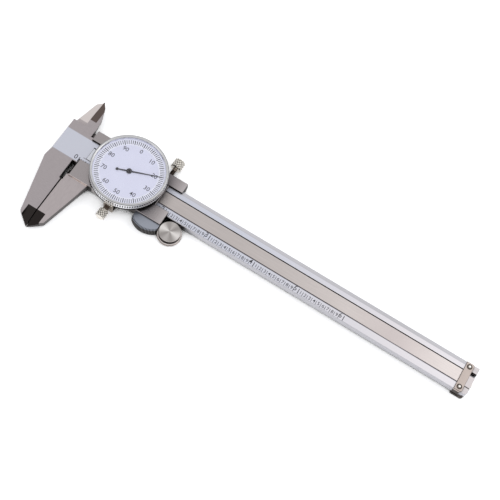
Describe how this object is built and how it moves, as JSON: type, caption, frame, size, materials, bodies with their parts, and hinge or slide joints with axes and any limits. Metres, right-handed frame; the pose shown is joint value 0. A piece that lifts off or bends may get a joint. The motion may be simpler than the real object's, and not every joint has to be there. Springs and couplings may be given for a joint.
{
  "type": "dial caliper",
  "caption": "Dial caliper with outside and inside jaws, rack-driven pointer, turning bezel, thumb roller, depth rod and knurled lock screws.",
  "frame": {"origin": "the dial's axis at rest, in the plane of the slider's back plate, on which the caliper lies", "axes": "+X along the beam from the jaws to the beam's end, +Y across the beam towards the inside jaws, +Z out of the dial"},
  "size_m": [0.2372, 0.0787, 0.0125],
  "materials": {
    "beam_steel": "satin chrome over ground hardened stainless steel",
    "slider_steel": "fine ground stainless steel",
    "rack_steel": "ground steel",
    "cover_steel": "long brushed stainless strip",
    "bridge_nickel": "tumbled nickel plate",
    "rivet_bright": "polished round head",
    "block_steel": "serrated, dull",
    "plate_steel": "fine ground",
    "rod_steel": "ground",
    "screw_steel": "turned",
    "spring_steel": "rolled",
    "gib_brass": "rolled",
    "train_brass": "cut and grained",
    "pinion_steel": "cut",
    "case_chrome": "turned satin",
    "bezel_chrome": "satin chrome, knurled edge",
    "clip_nickel": "bright nickel",
    "clear_crystal": "clear, polished",
    "dial_white": "matt white print ground",
    "pointer_black": "blued",
    "roller_steel": "face turned",
    "knurl_nickel": "diamond knurled nickel"
  },
  "bodies": {
    "beam": {"main_beam": "beam_steel", "rack_bar": "rack_steel", "rack_cover_strip": "cover_steel", "rack_pins": "screw_steel", "end_bridge_plate": "bridge_nickel", "end_rivets": "rivet_bright", "rear_end_block": "block_steel"},
    "slider": {"slider_body": "slider_steel", "gib_strip": "gib_brass", "gib_screws": "screw_steel", "lock_pad": "gib_brass", "back_plate": "plate_steel", "back_plate_screws": "screw_steel", "depth_rod": "rod_steel", "depth_rod_pins": "screw_steel", "roller_bracket": "spring_steel", "bracket_screws": "screw_steel", "roller_axle": "screw_steel", "dial_case": "case_chrome", "case_screws": "screw_steel", "movement_plate": "train_brass", "movement_plate_screws": "screw_steel", "movement_pillars": "train_brass", "movement_bridge": "train_brass", "bridge_screws": "screw_steel", "bezel_clamp": "clip_nickel"},
    "bezel": {"bezel_ring": "bezel_chrome", "crystal": "clear_crystal", "spacer_ring": "dial_white", "dial_face": "dial_white", "bezel_retaining_ring": "bezel_chrome"},
    "drive_gear": {"drive_pinion": "pinion_steel", "drive_arbor": "pinion_steel", "drive_wheel": "train_brass", "antilash_wheel": "train_brass", "antilash_spring": "spring_steel"},
    "intermediate_gear": {"intermediate_pinion": "pinion_steel", "intermediate_wheel": "train_brass"},
    "pointer": {"centre_pinion": "pinion_steel", "pointer_hand": "pointer_black"},
    "roller": {"thumb_roller": "roller_steel"},
    "lock_screw": {"slider_lock_screw": "knurl_nickel"},
    "clamp_screw": {"bezel_lock_screw": "knurl_nickel"}
  },
  "joints": [
    {"name": "slider_slide", "type": "slide", "parent": "beam", "child": "slider", "axis": [1, 0, 0], "range_m": [-0.00051, 0.15209]},
    {"name": "bezel_turn", "type": "hinge", "parent": "slider", "child": "bezel", "pos_m": [0, 0, 0.01], "axis": [0, 0, 1], "continuous": true},
    {"name": "drive_gear_turn", "type": "hinge", "parent": "slider", "child": "drive_gear", "pos_m": [-0.00672, 0.0034, 0.008], "axis": [0, 0, 1], "continuous": true},
    {"name": "intermediate_gear_turn", "type": "hinge", "parent": "slider", "child": "intermediate_gear", "pos_m": [-0.00523, -0.002, 0.008], "axis": [0, 0, 1], "continuous": true},
    {"name": "pointer_turn", "type": "hinge", "parent": "slider", "child": "pointer", "pos_m": [0, 0, 0.01], "axis": [0, 0, 1], "continuous": true},
    {"name": "roller_turn", "type": "hinge", "parent": "slider", "child": "roller", "pos_m": [0.0328, -0.01402, 0.003], "axis": [0, 0, 1], "continuous": true},
    {"name": "lock_screw_turn", "type": "hinge", "parent": "slider", "child": "lock_screw", "pos_m": [0.0166, 0.015, 0.00365], "axis": [0, 1, 0], "range_deg": [-45, 360]},
    {"name": "clamp_screw_turn", "type": "hinge", "parent": "slider", "child": "clamp_screw", "pos_m": [0.0001, -0.02, 0.0044], "axis": [0, -1, 0], "range_deg": [-45, 360]}
  ],
  "couplings": [
    {"joint": "drive_gear_turn", "follows": "slider_slide", "rad_per_m": -989.48},
    {"joint": "intermediate_gear_turn", "follows": "slider_slide", "rad_per_m": 1484.2},
    {"joint": "pointer_turn", "follows": "slider_slide", "rad_per_m": -2473.7},
    {"joint": "roller_turn", "follows": "slider_slide", "rad_per_m": 166.67}
  ]
}
